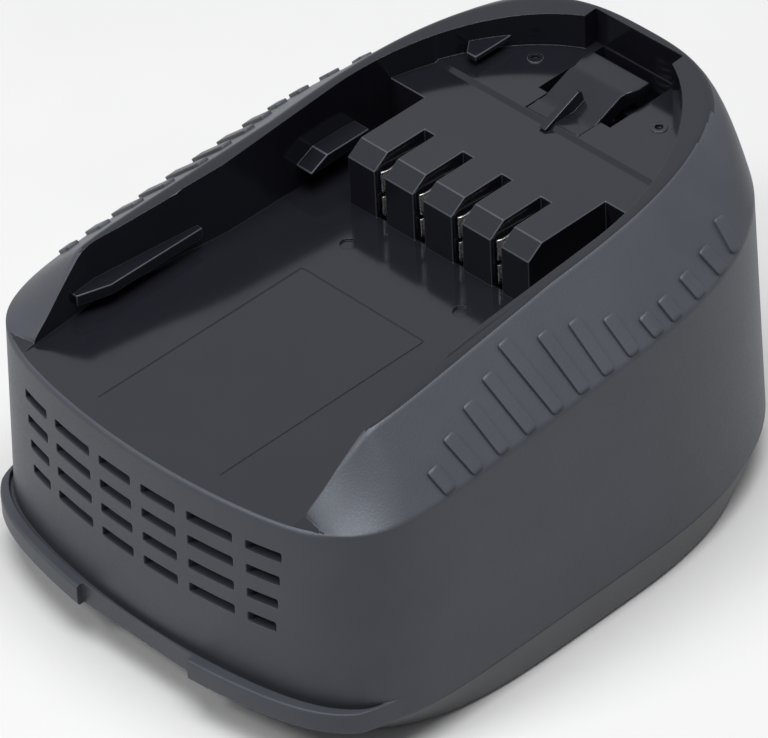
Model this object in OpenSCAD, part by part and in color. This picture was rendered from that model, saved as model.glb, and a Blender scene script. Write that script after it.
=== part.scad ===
// Slide-on battery pack for a cordless power tool.
// X runs across the pack, +Y towards the round rear with the latch, +Z up.
// The origin is on the ground, at the middle of the pack's length and width.

/* [Cells] */
// Diameter of a cell in its sleeve
cell_d = 18.2; // [17:0.1:20]
// Length of a cell over its raised pole
cell_l = 65; // [60:0.5:70]
// Gap between neighbouring cells
cell_gap = 0.2; // [0.1:0.1:1]
// Height of a cell's raised pole
pole_h = 0.8; // [0.4:0.1:1.5]
// Radius of a cell's raised pole
pole_r = 3.6; // [2:0.1:5]

/* [Shell] */
// Thickness of the outer wall
wall = 2.2; // [1.6:0.1:3]
// Thickness of the cavity floor
floor_t = 1.6; // [1.2:0.1:2.4]
// How far the outer wall leans in, per millimetre of height
draft = 0.0365; // [0:0.0005:0.08]
// Space from a cell's end to the inside of the wall
end_gap = 4.55; // [4.2:0.05:8]
// Space from the front wall to the first cell
front_gap = 7.7; // [7.3:0.05:12]
// Space from a top cell to the cavity floor
roof_gap = 0.37; // [0.2:0.01:3]
// Length of the round rear part of the outline
rear_reach = 49.1; // [44:0.05:54]
// Squareness of the rear outline, where 2 is an ellipse
rear_square = 2.73; // [2.2:0.01:4]
// Squareness of the front outline
front_square = 8.46; // [6:0.01:12]
// Crown of the front wall, in 1/mm
front_crown = 0.0044; // [0:0.0001:0.006]
// Thickness of the rear wall at the bottom seam, behind the thumb recess
rear_wall = 4; // [3.5:0.05:6]

/* [Grip band and rim] */
// Rise from the contact deck to the highest point of the rim
rim_rise = 6.4; // [5:0.1:9]
// Slope of the rim along the pack
rim_slope = 0.081; // [0.05:0.001:0.1]
// Slope of the crease below the grip band
crease_slope = 0.062; // [0.03:0.0005:0.08]
// Half of the rim's outer width at the widest part of the pack
rim_half = 26.9; // [26.4:0.1:29]
// Growth of the rim's half width towards the front, per millimetre
rim_flare = 0.05; // [0:0.001:0.06]
// Squareness of the rim at the rear
rim_square = 2.8; // [2.2:0.01:3]
// Distance from the widest place to the bend where the rim turns down to the noses
nose_reach = 35.6; // [33:0.1:37]
// Thickness of the rim's top behind the thumb recess
rim_back = 1.3; // [1:0.1:2]
// Ledge between the front edge and the nose of the grip band
nose_ledge = 3.9; // [2:0.1:6]
// How far the grip band swells out at the round rear, where 0 is straight
rear_swell = 1; // [0:0.1:1]
// Fall of the rim at the noses, as rise over run
nose_fall = 0.78; // [0.7:0.01:0.85]

/* [Front skirt and vents] */
// How far the skirt stands out of the front wall
skirt_out = 2.4; // [1:0.1:4]
// Height of the skirt
skirt_h = 3.5; // [2:0.1:6]
// Width of the notch in the skirt
notch_w = 22; // [10:0.5:40]
// Distance from the skirt's ends to the widest part of the flanks
skirt_end = 0.75; // [0.5:0.05:4]
// Length over which each end of the skirt fades into the wall
skirt_fade = 3; // [2:0.5:9]
// How far the skirt stands out inside the notch
notch_out = 0.75; // [0.2:0.05:0.9]
// Number of vent rows
vent_rows = 4; // [1:1:4]
// Distance between vent rows
vent_pitch = 4.1; // [3:0.01:5]
// Height of a vent
vent_h = 1.7; // [1:0.01:2.2]
// Drop from the front edge to the top of the first vent row
vent_drop = 4.72; // [3:0.01:7]

/* [Cavity] */
// Half width of the cavity at its narrow rear part
cav_half = 25.3; // [24:0.1:26]
// Length of the cavity's rear ellipse
cav_reach = 35.5; // [30:0.1:37]
// How much wider the cavity grows on each side towards its front
cav_flare = 2.4; // [1:0.1:2.6]
// Half width of the cavity at its front mouth
mouth_half = 26.3; // [25.5:0.1:27]
// Height of the contact deck over the cavity floor
finger_h = 9.9; // [8:0.1:12]
// Half width of the finger block
deck_half = 17.5; // [16:0.1:18]
// Length of the contact slots
finger_l = 9.9; // [8:0.1:12]
// Distance between contact slots
slot_pitch = 7.5; // [6:0.1:8]
// Width of a contact slot
slot_w = 2; // [1.6:0.1:3]
// Length of the chamfer on the finger tips
tip_l = 2.7; // [1:0.1:4]
// Height of the chamfer on the finger tips
tip_h = 1.9; // [1:0.1:3]
// Distance from the slots' ends to the ends of the side channels
channel_over = 5.15; // [3:0.05:7]
// Distance from the slots' ends to the step up to the rear floor
deck_over = 12.4; // [10.5:0.1:15]
// Rise of the rear floor over the contact deck
rear_rise = 0.5; // [0.2:0.1:0.8]
// Length of the front guide rails
rail_l = 17; // [14:0.5:18]
// Distance from the front guide rails to the finger tips
rail_gap = 21; // [20:0.1:24]
// Length of the lead-in at the front of the guide rails
rail_lead = 5; // [4:0.1:6]
// Inner edge of the guide rails, from the middle
rail_x = 24.9; // [24:0.1:25]
// Half of the free width between the rear guide rails
back_rail_x = 22.3; // [21.8:0.1:23.5]
// Drop from the deck to the top of the guide rails
rail_drop = 6.2; // [5:0.1:7]
// Edge of the ledge on the left wall, from the middle
ledge_x = 16.5; // [16:0.1:18]
// Thickness of the guide rails
rail_t = 1.8; // [1.2:0.1:2.4]

/* [Latch] */
// Distance from the pivot to the back of the pad
lever_l = 11.6; // [10.5:0.1:14]
// Half width of the lever's ramp
ramp_half = 5; // [4:0.1:5.2]
// Half width of the thumb pad
pad_half = 5.65; // [5.4:0.05:6.2]
// Length of the thumb pad
pad_l = 5.2; // [4:0.1:7]
// Height of the pad over the rear floor
pad_rise = 1.95; // [1.6:0.05:2.4]
// Thickness of the pad
pad_t = 2.2; // [1.6:0.1:2.6]
// Radius of the lever's barrel
barrel_r = 2.2; // [1.8:0.1:2.6]
// Radius of the pivot pin
pin_r = 1; // [0.7:0.05:1.3]
// Thickness of the central fin
fin_t = 1.2; // [0.8:0.1:2]
// Thumb space behind the pad
thumb_gap = 3.6; // [3:0.1:6]
// Half width of the thumb recess in the rear wall
recess_half = 8.4; // [7.5:0.1:10]
// Half width of the opening round the lever
well_half = 6.9; // [6.6:0.1:7.4]
// Depth of the well below the rear floor
well_depth = 7.2; // [6.5:0.1:8]
// How far the lever turns when the pad is pressed, in degrees
latch_travel = 10; // [6:0.5:10]
// Wire radius of the spring
spring_wire_r = 0.3; // [0.2:0.05:0.4]
// Mean radius of the spring
spring_r = 2.2; // [1.9:0.1:2.6]
// Number of turns in the spring
spring_turns = 5; // [3:1:7]

/* [Base and fasteners] */
// Thickness of the base's floor
base_t = 1.6; // [1.2:0.1:2.4]
// Height of the base cover
seam_z = 6.4; // [5:0.1:8]
// How far the base's sides lean in towards the ground
base_side = 0.4; // [0.2:0.1:2]
// How far the base's front leans in
base_front = 3.6; // [2:0.1:4]
// How far the base's rear leans in
base_rear = 6.9; // [3:0.1:8]
// Squareness of the base's front outline on the ground
base_square = 4.4; // [4:0.1:8]
// Space from the base's floor to the bottom cells
cell_lift = 0.6; // [0.4:0.1:2]
// Radius of the screw shanks
screw_r = 1.25; // [1:0.05:1.5]
// Radius of the screw heads
head_r = 2.2; // [2:0.1:2.4]
// Length of the screw shanks
screw_l = 12; // [10:0.5:13]
// Half distance between the front screws
front_screw_x = 12; // [9:0.5:14]
// Half distance between the rear screws
rear_screw_x = 21.5; // [21:0.1:23]

/* [Electrics] */
// Thickness of the circuit board
board_t = 1.6; // [1:0.1:2]
// Gap between the board and the cavity floor, filled by the terminal block
board_gap = 1.6; // [1.2:0.1:2.4]
// Half width of the board
board_half = 21; // [20.5:0.1:22]
// Width of a power transistor
transistor_w = 6.4; // [5:0.1:7]
// Height of a power transistor
transistor_h = 2.2; // [1.6:0.1:2.4]
// Width of the control chip
chip_w = 7; // [5:0.1:8]
// Thickness of a contact leaf
leaf_t = 0.45; // [0.3:0.05:0.5]
// Thickness of the welded straps
strap_t = 0.25; // [0.15:0.05:0.4]
// Width of the welded straps
strap_w = 7; // [5:0.5:9]
// Thickness of the insulating card
card_t = 0.4; // [0.2:0.1:0.6]
// Radius of the power leads
lead_r = 1; // [0.8:0.1:1.1]
// Width of a cell frame along the cells
frame_w = 6; // [4:0.5:8]
// Thickness of a cell frame round the cells
frame_ring = 1.5; // [1:0.1:1.8]

/* [Hidden] */
$fn = 48;

// Small allowances shared by all pieces
run_gap = 0.05;    // radial clearance of a pin that turns
body_gap = 0.3;    // gap between the lever and the shell
fit_gap = 0.15;    // gap of pieces that drop into each other
cut = 1;           // how far a cutter runs past a face

// Heights, from the ground up
cell_r = cell_d / 2;
pitch = cell_d + cell_gap;
low_z = base_t + cell_lift + cell_r;
high_z = low_z + sqrt(pitch * pitch - pitch * pitch / 4);
floor_z = high_z + cell_r + roof_gap + floor_t;
deck_z = floor_z + finger_h;
rear_floor_z = deck_z + rear_rise;
overall_h = deck_z + rim_rise;
board_top = floor_z - floor_t - board_gap;
board_bottom = board_top - board_t;
rail_z = deck_z - rail_drop;
well_z = rear_floor_z - well_depth;
pivot_z = rear_floor_z - barrel_r - 0.03;
pad_z = rear_floor_z + pad_rise;

// Lengths, from the front to the rear
skirt_lead = skirt_out - front_crown * notch_w * notch_w / 4;
front_to_cells = skirt_lead + wall + front_gap;
cells_run = cell_d + 1.5 * pitch;
board_lead = 1.2;
finger_lead = 1.5;
step_gap = body_gap + barrel_r;
overall_l = front_to_cells + cells_run + board_lead + finger_lead + finger_l + deck_over + step_gap
  + lever_l + thumb_gap + rear_wall;
front_y = -overall_l / 2;
cell_y = front_y + front_to_cells + cell_r;
board_y = front_y + front_to_cells + cells_run + board_lead;
tip_y = board_y + finger_lead;
slot_y = tip_y + finger_l;
channel_y = slot_y + channel_over;
step_y = slot_y + deck_over;
pivot_y = step_y + step_gap;
pad_y = pivot_y + lever_l;
recess_y = pad_y + thumb_gap;
rear_y = recess_y + rear_wall;
belly_y = rear_y - rear_reach;
front_reach = belly_y - front_y - skirt_lead;
cav_y = recess_y - cav_reach;
spring_y = pad_y - 2.6;

// The peg under the pad meets the post in the well when the lever is fully pressed
peg_r = spring_r - spring_wire_r - 0.3;
peg_z = pad_z - pad_t - 1.6;
post_top = pivot_z + (peg_z - pivot_z) * cos(latch_travel)
  - (spring_y - pivot_y + peg_r) * sin(latch_travel) - 0.15;

// Widths
half_w = cell_l / 2 + end_gap + wall;
well_wide = well_half + 2;
lug_x = ramp_half + body_gap;

// Places of the five cells: lower and upper row by turns
cells = [for (i = [0 : 4]) [cell_y + i * pitch / 2, i % 2 == 0 ? low_z : high_z]];
slots = [for (i = [0 : 3]) (i - 1.5) * slot_pitch];
front_screw_y = front_y + skirt_lead + wall + 4.65;
rear_screw_y = step_y - 1.5;
screw_places = [for (s = [-1, 1])
  each [[s * front_screw_x, front_screw_y], [s * rear_screw_x, rear_screw_y]]];
board_screw_x = board_half - 2.6;
board_screw_y = slot_y + 1.8;
boss_r = 2.7;
tower_r = 4;

// Colours
shell_grey = [0.27, 0.28, 0.31];
base_grey = [0.36, 0.37, 0.39];
black = [0.09, 0.09, 0.10];
steel = [0.72, 0.72, 0.74];
nickel = [0.80, 0.79, 0.75];
board_green = [0.10, 0.33, 0.20];
sleeve = [0.16, 0.42, 0.50];
card = [0.80, 0.76, 0.62];
lead_red = [0.55, 0.08, 0.07];

// Outline of the pack: a squared ellipse with a longer, squarer, crowned front
around = 72;
function squared(t, n) =
  let (c = abs(cos(t)), s = abs(sin(t)), k = pow(pow(c, n) + pow(s, n), 1 / n)) [c / k, s / k];
function outline_point(t, half, front, rear, square) =
  let (behind = sin(t) >= 0,
    u = squared(t, behind ? rear_square : square),
    x = sign(cos(t)) * half * u[0])
  [x, belly_y + (behind ? rear : front_crown * x * x - front) * u[1]];
function wall_point(t, inset) =
  outline_point(t, half_w - inset, front_reach - inset, rear_reach - inset, front_square);
function lean(z) = (z - seam_z) * draft;
function ease(a, b, v) = let (k = min(1, max(0, (v - a) / (b - a)))) k * k * (3 - 2 * k);

// Crease below the grip band, and the rim above it
nose_y = belly_y - front_reach + 11.95;
rim_front = front_reach - nose_ledge - 1.6;
crease_lift = 0.3;
function crease_z(y) = floor_z + crease_lift + crease_slope * max(0, y - nose_y);
rim_end_y = recess_y + rim_back;
function rim_z(y) =
  max(floor_z + crease_lift + 0.4,
    overall_h - rim_slope * (rim_end_y - y) - nose_fall * max(0, belly_y - nose_reach - y));
function rim_point(t, inset) =
  let (rear = sin(t) >= 0,
    u = squared(t, rear ? rim_square : front_square),
    flare = rear ? 0 : rim_flare * rim_front * u[1],
    x = sign(cos(t)) * (rim_half - inset + flare) * u[0],
    reach = rear ? rim_end_y - belly_y - inset : rim_front - inset - front_crown * x * x)
  [x, belly_y + (rear ? 1 : -1) * reach * u[1]];

// One ring of the band: share 0 is the crease and share 1 the rim.
// The band is straight on the flanks and swells out round the rear.
swell_from = rim_end_y - 17.8;
swell_to = rim_end_y - 1.8;
function ledge(t) = sin(t) < 0 ? nose_ledge * (1 - ease(0.68, 0.86, squared(t, front_square)[0])) : 0;
function band_point(t, share, inset, drop) =
  let (p0 = wall_point(t, inset),
    zc = crease_z(p0[1]),
    p = wall_point(t, inset + lean(zc) + ledge(t)),
    r = rim_point(t, inset),
    bulge = rear_swell * ease(swell_from, swell_to, p[1]),
    rise = share + bulge * share * (1 - share))
  [p[0] + (r[0] - p[0]) * share, p[1] + (r[1] - p[1]) * share,
    zc + (rim_z(r[1]) - zc) * rise - drop];

function turns_of(n) = [for (i = [0 : n - 1]) i * 360 / n];
function wall_ring(z, inset) = [for (t = turns_of(around)) let (p = wall_point(t, inset)) [p[0], p[1], z]];
function wall_outline(inset) = [for (t = turns_of(around)) wall_point(t, inset)];
function band_ring(share, inset, drop) = [for (t = turns_of(around)) band_point(t, share, inset, drop)];

// Closed solid through a stack of rings. Each end is closed by strips from side to side,
// because the rings are mirror images about the middle of the pack.
function wrap(i, n) = (i + n) % n;
function strips(n) =
  let (h = n / 2, q = n / 4)
  concat([for (k = [1 - q : q - 2]) [wrap(k, n), wrap(k + 1, n), wrap(h - k - 1, n), wrap(h - k, n)]],
    [[q - 1, q, h - q + 1], [wrap(h + q - 1, n), wrap(-q, n), wrap(1 - q, n)]]);
module loft(rings) {
  n = len(rings[0]);
  m = len(rings);
  sides = [for (i = [0 : m - 2], j = [0 : n - 1])
    let (a = i * n + j, b = i * n + (j + 1) % n) each [[a, a + n, b], [b, a + n, b + n]]];
  top = [for (f = strips(n)) [for (i = [len(f) - 1 : -1 : 0]) (m - 1) * n + f[i]]];
  polyhedron([for (r = rings) each r], concat(strips(n), sides, top));
}

// Round tube along a route, its section carried along without twist
function unit(v) = v / norm(v);
function heading(path, i) = unit(path[min(i + 1, len(path) - 1)] - path[max(i - 1, 0)]);
function square_to(v, t) = unit(v - (v * t) * t);
module tube(path, radius, sides, first) {
  last = len(path) - 1;
  normals = [for (i = 0, n = square_to(first, heading(path, 0)); i <= last;
    i = i + 1, n = square_to(n, heading(path, min(i, last)))) n];
  loft_open([for (i = [0 : last]) let (b = cross(heading(path, i), normals[i]))
    [for (k = [0 : sides - 1]) let (a = k * 360 / sides)
      path[i] + radius * (cos(a) * normals[i] + sin(a) * b)]]);
}
module loft_open(rings) {
  n = len(rings[0]);
  m = len(rings);
  sides = [for (i = [0 : m - 2], j = [0 : n - 1])
    let (a = i * n + j, b = i * n + (j + 1) % n) each [[a, a + n, b], [b, a + n, b + n]]];
  bottom = [for (j = [1 : n - 2]) [0, j, j + 1]];
  top = [for (j = [1 : n - 2]) [(m - 1) * n, (m - 1) * n + j + 1, (m - 1) * n + j]];
  polyhedron([for (r = rings) each r], concat(bottom, sides, top));
}

// Shapes drawn in the side view (Y, Z) and run across X
module across(x0, x1) { translate([x0, 0, 0]) rotate([90, 0, 90]) linear_extrude(x1 - x0) children(); }
module box(low, high) { translate(low) cube(high - low); }
module both_sides() { children(); mirror([1, 0, 0]) children(); }

// Plan of the cavity, grown by a margin for the tub round it
module cavity_plan(grow) {
  step = belly_y - 11;
  nose = belly_y - front_reach + 5.05;
  flare_y = belly_y - nose_reach + 2.1;
  side = [[cav_half + grow, cav_y], [cav_half + grow, step], [cav_half + cav_flare + grow, flare_y],
    [mouth_half + grow, nose], [mouth_half + grow, front_y - 5]];
  rear = [for (t = [0 : 5 : 180]) [(cav_half + grow) * cos(t), cav_y + (cav_reach + grow) * sin(t)]];
  polygon(concat(rear, [for (p = side) [-p[0], p[1]]], [for (i = [len(side) - 1 : -1 : 0]) side[i]]));
}

// Side view of the deck: chamfered finger tips, then the step to the rear floor
module finger_profile() {
  polygon([[tip_y, floor_z - cut], [tip_y, deck_z - tip_h], [tip_y + tip_l, deck_z],
    [channel_y, deck_z], [channel_y, floor_z - cut]]);
}
module deck_profile() {
  slant = 0.7;
  polygon([[channel_y, floor_z - cut], [channel_y, deck_z], [step_y - slant, deck_z], [step_y, rear_floor_z],
    [rear_y, rear_floor_z], [rear_y, floor_z - cut]]);
}

// Guide rails along the cavity wall, for one side
module rails() {
  front_b = tip_y - rail_gap;
  front_a = front_b - rail_l;
  translate([0, 0, rail_z - rail_t]) linear_extrude(rail_t)
    polygon([[rail_x, front_b], [cav_half + 3, front_b], [cav_half + 3, front_a - rail_lead],
      [mouth_half + 0.2, front_a - rail_lead], [rail_x, front_a]]);
  back_z = deck_z - 4.4;
  across(back_rail_x, cav_half + 2)
    polygon([[tip_y - 2.6, back_z - rail_t], [tip_y - 2.6, back_z - 1.5], [tip_y + 0.6, back_z],
      [slot_y - 1.2, back_z], [slot_y - 1.2, back_z - rail_t]]);
}

// Small ledge on the left wall, beside the latch
module side_ledge() {
  thick = 1.2;
  start_y = pivot_y - 0.5;
  wall_x = cav_half - 3.8;
  translate([0, 0, deck_z + 2.8 - thick]) linear_extrude(thick)
    polygon([[-ledge_x, start_y], [-ledge_x - 2.3, start_y], [-wall_x, start_y + 3.5],
      [-wall_x, start_y + 10], [-ledge_x, start_y + 10]]);
}

module cavity_cut() {
  difference() {
    translate([0, 0, floor_z]) linear_extrude(overall_h - floor_z + cut) cavity_plan(0);
    across(-deck_half, deck_half) finger_profile();
    across(-half_w, half_w) deck_profile();
    both_sides() rails();
    side_ledge();
  }
  box([-recess_half, cav_y, rear_floor_z], [recess_half, recess_y + 0.2, overall_h + cut]);
}

module slot_cuts() {
  for (x = slots) {
    box([x - slot_w / 2, tip_y - cut, floor_z], [x + slot_w / 2, slot_y, deck_z + cut]);
    box([x - slot_w / 2, tip_y + 0.4, floor_z - floor_t - cut],
      [x + slot_w / 2, slot_y - 0.3, floor_z + cut]);
  }
}

// Opening and well round the latch lever, with the two lugs that hold its pin
module latch_cut() {
  lug_y = pivot_y + 2.2;
  difference() {
    union() {
      box([-lug_x, step_y, well_z], [lug_x, recess_y, rear_floor_z + cut]);
      box([-well_half, lug_y, well_z], [well_half, recess_y, rear_floor_z + cut]);
      box([-well_wide, lug_y, well_z], [well_wide, recess_y - 1.5, rear_floor_z - floor_t]);
    }
    translate([0, spring_y, well_z - cut]) cylinder(r = peg_r, h = post_top - well_z + cut);
  }
  translate([-well_wide, pivot_y, pivot_z]) rotate([0, 90, 0]) cylinder(r = pin_r + 0.02, h = 2 * well_wide);
}

module vent_cuts() {
  columns = [[1.02, 7.47], [9.54, 17.4], [19.5, 25.15]];
  outer_slant = 0.375;
  top_z = floor_z - vent_drop;
  both_sides() for (c = [0 : 2], r = [0 : vent_rows - 1]) {
    z = top_z - r * vent_pitch;
    x1 = columns[c][1] - (c == 2 ? outer_slant * r : 0);
    box([columns[c][0], front_y, z - vent_h], [x1, front_y + skirt_lead + wall + 8, z]);
  }
}

// Skirt along the foot of the front wall, with a notch in its middle
function wall_y(x) =
  let (k = pow(1 - pow(abs(x) / half_w, front_square), 1 / front_square))
  belly_y - (front_reach - front_crown * x * x) * k;
module skirt() {
  steps = 40;
  skirt_half = half_w - skirt_end;
  fade_x = skirt_half - skirt_fade;
  root_x = fade_x + skirt_fade / 2;
  root_y = wall_y(root_x) + 2;
  out = [for (i = [0 : steps]) let (x = skirt_half * sin(180 * i / steps - 90))
    [x, wall_y(x) - skirt_out * (1 - 1.4 * ease(fade_x, skirt_half, abs(x)))]];
  difference() {
    translate([0, 0, seam_z]) linear_extrude(skirt_h)
      polygon(concat(out, [[root_x, root_y], [-root_x, root_y]]));
    box([-notch_w / 2, front_y - 2 * cut, seam_z - cut],
      [notch_w / 2, front_y + skirt_lead - notch_out, seam_z + skirt_h + cut]);
  }
}

// Screw bosses that hang from the shell's ceiling down to the base
module bosses() {
  for (p = screw_places) translate([p[0], p[1], seam_z]) cylinder(r = boss_r, h = rear_floor_z - seam_z - 1);
  for (s = [-1, 1])
    box([s * front_screw_x - 1, front_y, seam_z + skirt_h], [s * front_screw_x + 1, front_screw_y, floor_z]);
}
module boss_pilots() {
  for (p = screw_places) translate([p[0], p[1], seam_z - cut])
    cylinder(r = screw_r + run_gap, h = screw_l + 2 * cut);
  for (s = [-1, 1]) translate([s * board_screw_x, board_screw_y, board_top - cut])
    cylinder(r = 0.8 + run_gap, h = board_gap + cut + 1);
}

// The hollow inside the shell, less the tub of the cavity and the bosses
module hollow() {
  difference() {
    loft([wall_ring(seam_z - cut, wall - lean(seam_z + cut)), wall_ring(floor_z - 3, wall + lean(floor_z - 3)),
      band_ring(0, wall, 1), band_ring(0.5, wall, 1), band_ring(1, wall, 2.5)]);
    translate([0, 0, floor_z - floor_t]) linear_extrude(overall_h) cavity_plan(wall);
    bosses();
    for (s = [-1, 1]) translate([s * board_screw_x, board_screw_y, board_top])
      cylinder(r = 2.4, h = board_gap + cut);
  }
  under = floor_z - floor_t - cut;
  difference() {
    union() {
      box([floor_t - deck_half, slot_y + floor_t, under],
        [deck_half - floor_t, channel_y + 2 * floor_t, deck_z - floor_t]);
      difference() {
        translate([0, 0, under]) linear_extrude(deck_z - floor_t - under) cavity_plan(-floor_t);
        box([-half_w, front_y - 10, 0], [half_w, channel_y + floor_t, overall_h]);
      }
    }
    box([-well_wide - floor_t, step_y - floor_t, well_z - floor_t], [well_wide + floor_t, rear_y, overall_h]);
    bosses();
  }
}

module upper_shell() {
  color(shell_grey) difference() {
    union() {
      loft([wall_ring(seam_z, 0), wall_ring(floor_z, lean(floor_z)), band_ring(0, 0, 0),
         band_ring(0.25, 0, 0), band_ring(0.5, 0, 0), band_ring(0.75, 0, 0), band_ring(1, 0, 0)]);
      skirt();
    }
    hollow();
    cavity_cut();
    slot_cuts();
    latch_cut();
    vent_cuts();
    boss_pilots();
  }
}

// Tray that closes the bottom. Its sides lean in towards the ground, most of all at the rear.
// An inner lip and four screw towers stand on it.
base_edge = 0.2;
function base_point(t, z, inset) =
  let (k = 1 - z / seam_z,
    d = base_edge + inset,
    top = wall_point(t, d),
    foot = outline_point(t, half_w - d - base_side, front_reach - d - base_front,
      rear_reach - d - base_rear, base_square))
  top + (foot - top) * k;
function base_ring(z, inset) = [for (t = turns_of(around)) let (p = base_point(t, z, inset)) [p[0], p[1], z]];
module base_lip() {
  lip_t = 1.2;
  lip_low = seam_z - 1.2;
  lip_high = seam_z + 1.4;
  difference() {
    translate([0, 0, lip_low]) linear_extrude(lip_high - lip_low) difference() {
      polygon(wall_outline(wall + fit_gap));
      polygon(wall_outline(wall + fit_gap + lip_t));
    }
    for (p = screw_places) translate([p[0], p[1], seam_z]) cylinder(r = boss_r + body_gap, h = 2 * lip_high);
    for (s = [-1, 1]) box([s * front_screw_x - 1.3, front_y, seam_z],
      [s * front_screw_x + 1.3, front_screw_y, 2 * lip_high]);
    across(-cell_l / 2 - body_gap, cell_l / 2 + body_gap)
      for (c = cells) translate(c) circle(r = cell_r + frame_ring + body_gap);
  }
}
module base_cover() {
  color(base_grey) difference() {
    union() {
      difference() {
        loft([base_ring(0, 0.6), base_ring(0.7, 0), base_ring(seam_z, 0)]);
        difference() {
          loft([base_ring(base_t, wall), base_ring(seam_z + cut, wall)]);
          for (p = screw_places) translate([p[0], p[1], 0]) cylinder(r = tower_r, h = seam_z);
        }
      }
      base_lip();
    }
    for (p = screw_places) translate([p[0], p[1], -cut]) {
      cylinder(r = head_r + fit_gap, h = cut + seam_z / 2);
      cylinder(r = screw_r + 0.3, h = seam_z + 2 * cut);
    }
  }
}

// Release lever: barrel on the pin, ramp, fin and thumb pad, with stop ears under the rear floor
module latch_lever() {
  knee_y = pad_y - pad_l;
  ear_top = rear_floor_z - floor_t - 0.1;
  ear_a = pad_y - 4.2;
  ear_b = pad_y - 1.6;
  ear_x = spring_r + spring_wire_r + 0.3;
  toe_y = pivot_y - barrel_r;
  foot_y = pivot_y + 1.5;
  fin_y = step_y + fit_gap;
  color(black) difference() {
    union() {
      translate([-ramp_half, pivot_y, pivot_z]) rotate([0, 90, 0]) cylinder(r = barrel_r, h = 2 * ramp_half);
      across(-ramp_half, ramp_half)
        polygon([[toe_y, pivot_z], [toe_y, rear_floor_z - 0.03], [foot_y, rear_floor_z - 0.03],
          [knee_y, pad_z], [pad_y, pad_z], [pad_y, pad_z - pad_t],
          [knee_y + 0.8, pad_z - pad_t], [pivot_y + 0.6, pivot_z - 0.8]]);
      translate([0, 0, pad_z - pad_t]) linear_extrude(pad_t) both_sides()
        polygon([[0, ear_a], [ramp_half, ear_a], [pad_half, pad_y - 2.2], [pad_half, pad_y], [0, pad_y]]);
      across(-fin_t / 2, fin_t / 2)
        polygon([[toe_y, pivot_z + 1], [fin_y, rear_floor_z], [pivot_y + 2.6, rear_floor_z + 2.7],
          [pivot_y + 3.3, rear_floor_z + 2.3], [pivot_y + 3.6, rear_floor_z + 1],
          [pivot_y + 3.6, rear_floor_z]]);
      both_sides() {
        box([ear_x, ear_a, ear_top - 1.4], [ear_x + 1.6, ear_b, pad_z - pad_t / 2]);
        box([ear_x, ear_a, ear_top - 1.4], [pad_half + 2.2, ear_b, ear_top]);
      }
      translate([0, spring_y, peg_z]) cylinder(r = peg_r, h = pad_z - pad_t / 2 - peg_z);
    }
    translate([-half_w, pivot_y, pivot_z]) rotate([0, 90, 0]) cylinder(r = pin_r + run_gap, h = 2 * half_w);
  }
}

module latch_pin() {
  color(steel) translate([fit_gap - well_wide, pivot_y, pivot_z]) rotate([0, 90, 0])
    cylinder(r = pin_r, h = 2 * (well_wide - fit_gap));
}

module latch_spring() {
  rings_per_turn = 8;
  low = well_z + spring_wire_r + 0.05;
  high = pad_z - pad_t - spring_wire_r - 0.05;
  steps = spring_turns * rings_per_turn;
  coil = [for (i = [0 : steps]) [spring_r * cos(i * 360 / rings_per_turn),
    spring_y + spring_r * sin(i * 360 / rings_per_turn), low + (high - low) * i / steps]];
  color(steel) tube(coil, spring_wire_r, 6, [0, 0, 1]);
}

// Contact clip: two sprung leaves on a foot, each split into an upper and a lower finger
module contact_clip(x) {
  leaf_x = slot_w / 2 - 0.2 - leaf_t;
  top = deck_z - 2.2;
  foot_top = floor_z - floor_t;
  color(steel) translate([x, 0, 0]) difference() {
    union() {
      box([-leaf_x - leaf_t, tip_y + 1.2, board_top], [leaf_x + leaf_t, slot_y - 0.7, foot_top]);
      for (s = [-1, 1]) box([s * (leaf_x + leaf_t / 2) - leaf_t / 2, tip_y + 0.7, foot_top - 0.5],
        [s * (leaf_x + leaf_t / 2) + leaf_t / 2, slot_y - 0.7, top]);
      box([-0.4, tip_y + 3.2, board_bottom - 0.5], [0.4, tip_y + 5.2, board_top + 0.1]);
    }
    mid = (floor_z + top) / 2;
    box([-slot_w, tip_y, mid - 0.5], [slot_w, slot_y - 3, mid + 0.5]);
  }
}
module terminal_negative() { contact_clip(slots[0]); }
module terminal_code() { contact_clip(slots[1]); }
module terminal_temp() { contact_clip(slots[2]); }
module terminal_positive() { contact_clip(slots[3]); }

module terminal_block() {
  half = slots[3] + slot_w / 2 + 2.65;
  color(black) difference() {
    box([-half, tip_y + 0.4, board_top], [half, slot_y - 0.2, floor_z - floor_t - 0.05]);
    for (x = slots)
      box([x - slot_w / 2, tip_y + 0.6, board_top - cut], [x + slot_w / 2, slot_y - 0.5, floor_z]);
  }
}

module circuit_board() {
  color(board_green) difference() {
    box([-board_half, board_y, board_bottom], [board_half, channel_y + 1, board_top]);
    for (x = slots) box([x - 0.55, tip_y + 3, board_bottom - cut], [x + 0.55, tip_y + 5.4, board_top + cut]);
    for (s = [-1, 1]) translate([s * board_screw_x, board_screw_y, board_bottom - cut])
      cylinder(r = 1, h = board_t + 2 * cut);
  }
}
module power_transistors() {
  x = 0.476 * board_half;
  h = transistor_w / 2;
  color(black) for (s = [-1, 1])
    box([s * x - h, slot_y - h, board_bottom - transistor_h], [s * x + h, slot_y + h, board_bottom]);
}
module control_chip() {
  length = chip_w / 1.4;
  color(black)
    box([-chip_w / 2, slot_y - length / 2, board_bottom - 1.4],
      [chip_w / 2, slot_y + length / 2, board_bottom]);
}
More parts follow.
